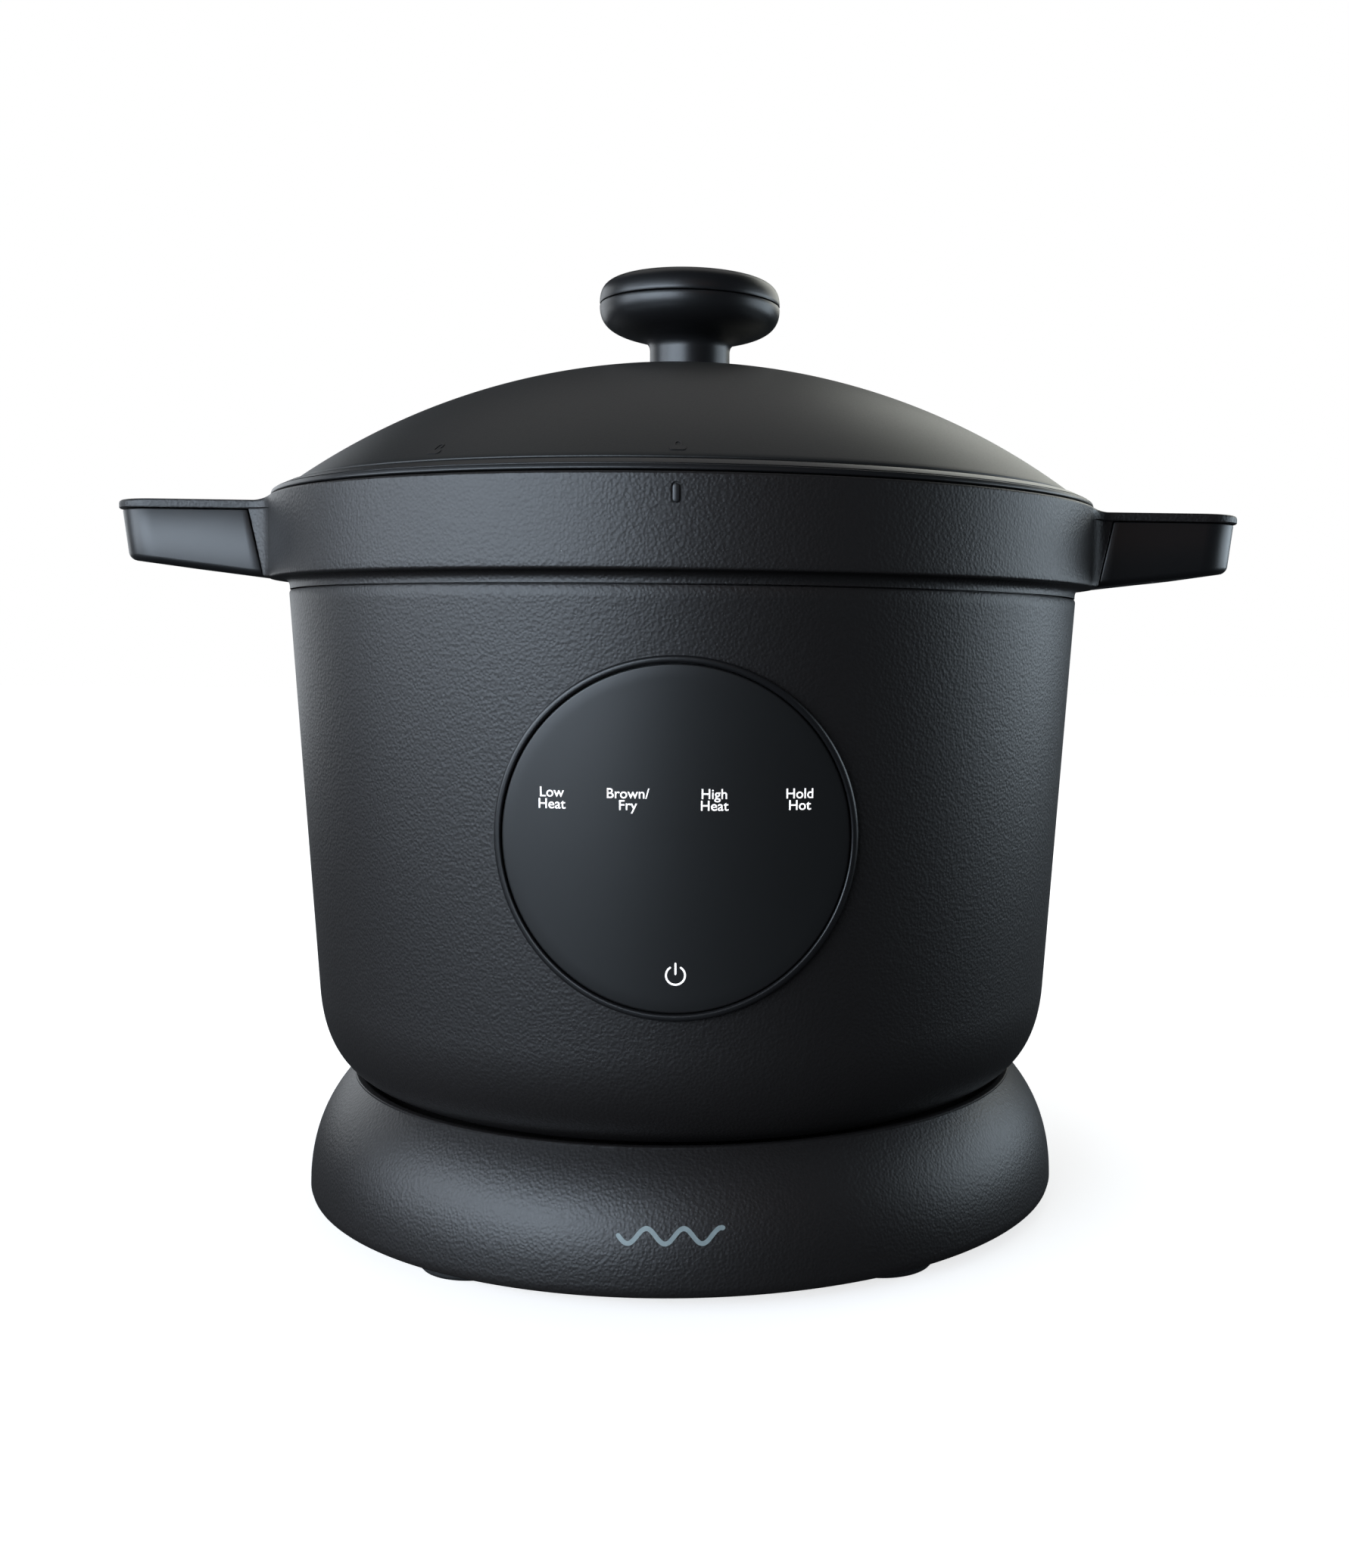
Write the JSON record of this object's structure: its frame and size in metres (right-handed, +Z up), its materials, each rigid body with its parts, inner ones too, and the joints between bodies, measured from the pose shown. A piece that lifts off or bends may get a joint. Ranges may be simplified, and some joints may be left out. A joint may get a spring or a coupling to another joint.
{
  "type": "electric pressure cooker",
  "caption": "Round electric pressure cooker with a domed turning lid, central knob, collar with ear handles, touch panel and flared base.",
  "frame": {"origin": "on the table under the centre of the cooker", "axes": "+Z up, +X along the handles, the panel faces -Y"},
  "size_m": [0.38, 0.29, 0.325],
  "materials": {
    "grained_black": "fine leather grain",
    "dome_black": "smooth matte",
    "satin_black": "satin",
    "dark_plastic": "plain moulded",
    "foot_rubber": "matte",
    "silicone": "satin translucent white",
    "zinc_steel": "zinc plated",
    "stainless": "brushed",
    "spring_steel": "drawn wire",
    "aluminium": "cast and turned",
    "brass": "plated",
    "circuit_board": "solder mask",
    "component": "moulded",
    "white_plastic": "moulded",
    "cable_sleeve": "sleeve"
  },
  "bodies": {
    "housing": {"base_shell": "grained_black", "base_plate": "dark_plastic", "neck_ring": "dark_plastic", "power_inlet": "dark_plastic", "line_pin": "brass", "neutral_pin": "brass", "earth_pin": "brass", "power_board": "circuit_board", "transformer": "component", "relay": "component", "capacitor": "component", "body_shell": "grained_black", "panel_bezel": "satin_black", "panel_cover": "satin_black", "light_guide": "white_plastic", "control_board": "circuit_board", "panel_cable": "cable_sleeve", "collar": "grained_black", "grip_left": "satin_black", "grip_right": "satin_black", "housing_cup": "stainless", "bayonet_ring": "stainless", "heat_shield": "aluminium", "heater_plate": "aluminium", "heating_element": "spring_steel", "sensor_bracket": "zinc_steel", "sensor_spring": "spring_steel", "pressure_switch": "component", "thermal_fuse": "white_plastic", "heater_lead": "cable_sleeve", "foot_1": "foot_rubber", "foot_2": "foot_rubber", "foot_3": "foot_rubber", "foot_4": "foot_rubber", "base_screw_1": "zinc_steel", "base_screw_2": "zinc_steel", "base_screw_3": "zinc_steel", "base_screw_4": "zinc_steel", "handle_screw_1": "zinc_steel", "handle_screw_2": "zinc_steel", "handle_screw_3": "zinc_steel", "handle_screw_4": "zinc_steel"},
    "pot": {"inner_pot": "stainless"},
    "seal": {"sealing_ring": "silicone", "seal_rack": "stainless"},
    "lid": {"lid_inner": "stainless", "lid_ring": "satin_black", "lid_dome": "dome_black", "knob_body": "satin_black", "knob_cap": "satin_black", "vent_pipe": "stainless", "knob_nut": "zinc_steel", "lock_spring": "spring_steel"},
    "valve": {"release_valve": "stainless"},
    "float": {"float_valve": "stainless", "float_seal": "silicone"},
    "lock": {"lock_slider": "white_plastic"},
    "sensor": {"sensor_cap": "aluminium"}
  },
  "joints": [
    {"name": "lid_lift", "type": "slide", "parent": "housing", "child": "seal", "axis": [0, 0, 1], "range_m": [0, 0.36]},
    {"name": "lid_turn", "type": "hinge", "parent": "seal", "child": "lid", "pos_m": [0, 0, 0.24], "axis": [0, 0, 1], "range_deg": [0, 30]},
    {"name": "pot_lift", "type": "slide", "parent": "housing", "child": "pot", "axis": [0, 0, 1], "range_m": [0, 0.18]},
    {"name": "valve_lift", "type": "slide", "parent": "lid", "child": "valve", "axis": [0, 0, 1], "range_m": [0, 0.003]},
    {"name": "float_rise", "type": "slide", "parent": "lid", "child": "float", "axis": [0, 0, 1], "range_m": [0, 0.005]},
    {"name": "lock_slide", "type": "slide", "parent": "lid", "child": "lock", "axis": [0, 1, 0], "range_m": [0, 0.004], "stiffness_N_per_m": 200, "deforming": ["lock_spring"]},
    {"name": "sensor_press", "type": "slide", "parent": "housing", "child": "sensor", "axis": [0, 0, 1], "range_m": [-0.003, 0], "stiffness_N_per_m": 300, "springref_m": 0.004, "deforming": ["sensor_spring"]}
  ],
  "couplings": [
    {"joint": "pot_lift", "follows": "lid_lift", "ratio": 0.5}
  ]
}
